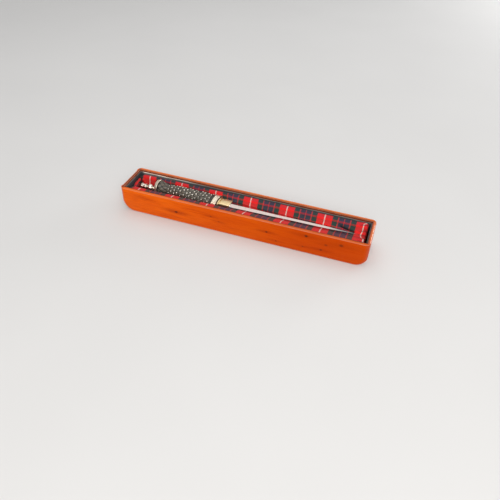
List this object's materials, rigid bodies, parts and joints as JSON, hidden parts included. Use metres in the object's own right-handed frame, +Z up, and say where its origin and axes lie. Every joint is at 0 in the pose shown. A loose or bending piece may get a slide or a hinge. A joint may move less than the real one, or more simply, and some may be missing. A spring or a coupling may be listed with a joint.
{
  "type": "cased dress dirk",
  "caption": "Long narrow open wooden case with a padded tartan lining and a dress dirk lying in its trough: plain blade, studded carved grip, silver mounts and finial.",
  "frame": {"origin": "centre of the case's footprint, on the underside of the bottom board", "axes": "+X along the case towards the blade's point, +Y across to the case's back side, +Z up"},
  "size_m": [0.51, 0.083, 0.053],
  "materials": {
    "varnished_wood": "orange-red varnish, glossy, dark streaks and small knots in the grain",
    "liner_black": "black flocked card with a pale worn edge",
    "wadding": "loose cotton wadding",
    "tartan": "woven wool tartan in red, dark green, navy and white",
    "polished_steel": "mirror-polished steel",
    "brass": "satin brass, a little dulled",
    "dark_leather": "dark leather washer",
    "silver": "polished silver with a warm tarnish",
    "carved_blackwood": "dark carved interlace, satin, with bright stud heads"
  },
  "bodies": {
    "case": {"front_side": "varnished_wood", "back_side": "varnished_wood", "left_end": "varnished_wood", "right_end": "varnished_wood", "bottom_board": "varnished_wood", "front_liner": "liner_black", "back_liner": "liner_black", "left_liner": "liner_black", "right_liner": "liner_black", "floor_liner": "liner_black", "base_wadding": "wadding", "back_wadding": "wadding", "front_wadding": "wadding", "blade_wadding": "wadding", "tartan_cover": "tartan"},
    "dirk": {"blade": "polished_steel", "ricasso_sleeve": "brass", "throat_plate": "brass", "hilt_washer": "dark_leather", "ferrule": "silver", "grip": "carved_blackwood", "tang_nut": "brass", "pommel_cap": "silver", "pommel_ring": "silver", "finial_base": "silver", "finial_ball": "silver", "finial_spool": "silver"}
  },
  "joints": [
    {"name": "dirk_lift", "type": "slide", "parent": "case", "child": "dirk", "axis": [0, 0, 1], "range_m": [0, 0.12]}
  ]
}
